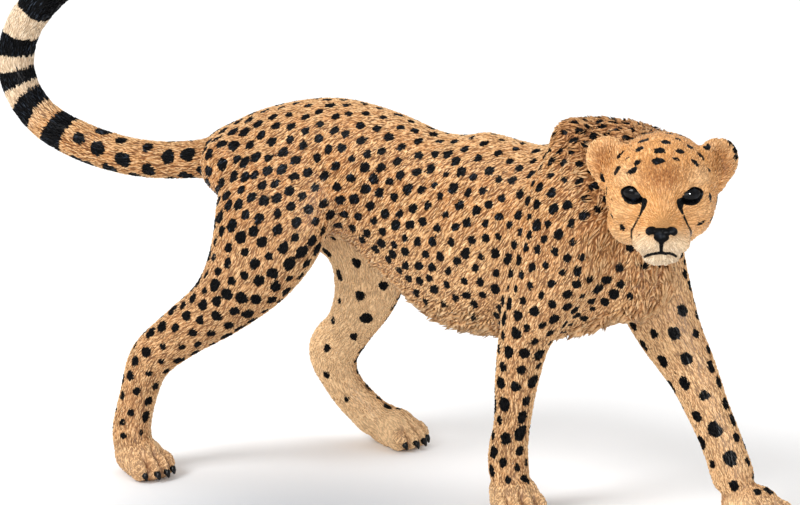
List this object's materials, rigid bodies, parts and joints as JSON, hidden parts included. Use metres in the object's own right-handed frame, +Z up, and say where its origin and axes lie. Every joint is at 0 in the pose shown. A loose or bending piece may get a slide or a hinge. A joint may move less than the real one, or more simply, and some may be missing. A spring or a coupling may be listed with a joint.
{
  "type": "toy cheetah figurine",
  "caption": "Toy figurine of a walking cheetah in hard hand-painted plastic, its head turned to its right and its tail curled up behind it.",
  "frame": {"origin": "middle of the bounding box's base, on the floor that the paws stand on", "axes": "+X along the trunk towards the chest, +Y to the cat's left, +Z up; the head is turned to the cat's right, towards -Y"},
  "size_m": [0.1006, 0.0326, 0.057],
  "materials": {
    "coat": "moulded fur relief under hand-painted tan, cream washes and black spots, satin",
    "gloss_black": "glossy black paint on the eyes and the nose, and a duller black on the claws"
  },
  "bodies": {
    "root": {"head": "coat", "ear_left": "coat", "ear_right": "coat", "neck": "coat", "trunk": "coat", "tail_base": "coat", "tail_middle": "coat", "tail_tip": "coat", "foreleg_right_upper": "coat", "foreleg_right_lower": "coat", "foreleg_right_paw": "coat", "foreleg_left_upper": "coat", "foreleg_left_lower": "coat", "foreleg_left_paw": "coat", "hindleg_right_upper": "coat", "hindleg_right_lower": "coat", "hindleg_right_paw": "coat", "hindleg_left_upper": "coat", "hindleg_left_lower": "coat", "hindleg_left_paw": "coat", "eye_left": "gloss_black", "eye_right": "gloss_black", "nose": "gloss_black"}
  },
  "joints": []
}
